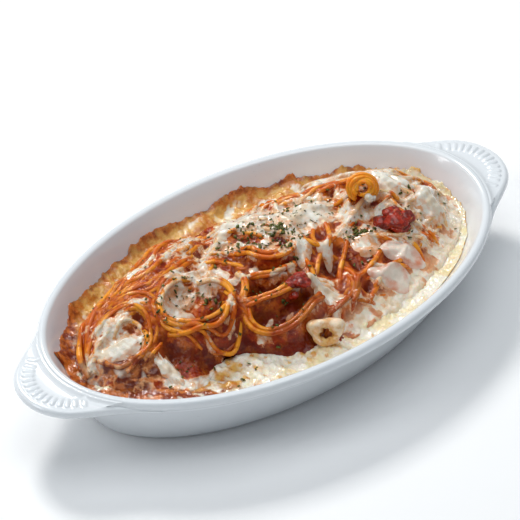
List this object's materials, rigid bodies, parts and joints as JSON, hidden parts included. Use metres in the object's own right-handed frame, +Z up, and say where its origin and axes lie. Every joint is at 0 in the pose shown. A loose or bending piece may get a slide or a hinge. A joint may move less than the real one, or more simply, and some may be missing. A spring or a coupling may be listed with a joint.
{
  "type": "baked pasta",
  "caption": "Spaghetti in tomato sauce baked under melted cheese in an oval white gratin dish with a round lip and a beaded lug handle at each end.",
  "frame": {"origin": "on the table under the middle of the dish", "axes": "+X along the dish to one handle, +Y across it to the side where the pasta lies close to the wall, +Z up"},
  "size_m": [0.2574, 0.1332, 0.0549],
  "materials": {
    "porcelain": "glazed porcelain, cool white and glossy",
    "gratin": "melted cheese and sauce, cream to browned amber, glossy with oil",
    "noodles": "spaghetti coated in tomato sauce, orange and glossy",
    "cheese": "melted mozzarella, off-white, soft gloss",
    "ham": "slices under melted cheese, pale pink, soft gloss",
    "tomato": "cooked tomato pulp, deep red and wet"
  },
  "bodies": {
    "root": {"dish": "porcelain", "gratin_bed": "gratin", "noodle_heap": "noodles", "cheese_left": "cheese", "cheese_tongue": "cheese", "cheese_nest": "cheese", "cheese_crest": "cheese", "cheese_middle": "cheese", "cheese_drip_left": "cheese", "cheese_drip_right": "cheese", "cheese_front": "cheese", "cheese_hollow": "cheese", "cheese_far": "cheese", "cheese_right": "cheese", "ham_side": "ham", "ham_front": "ham", "tomato_front": "tomato", "tomato_right": "tomato", "noodle_curl": "noodles", "cheese_loop": "cheese"}
  },
  "joints": []
}
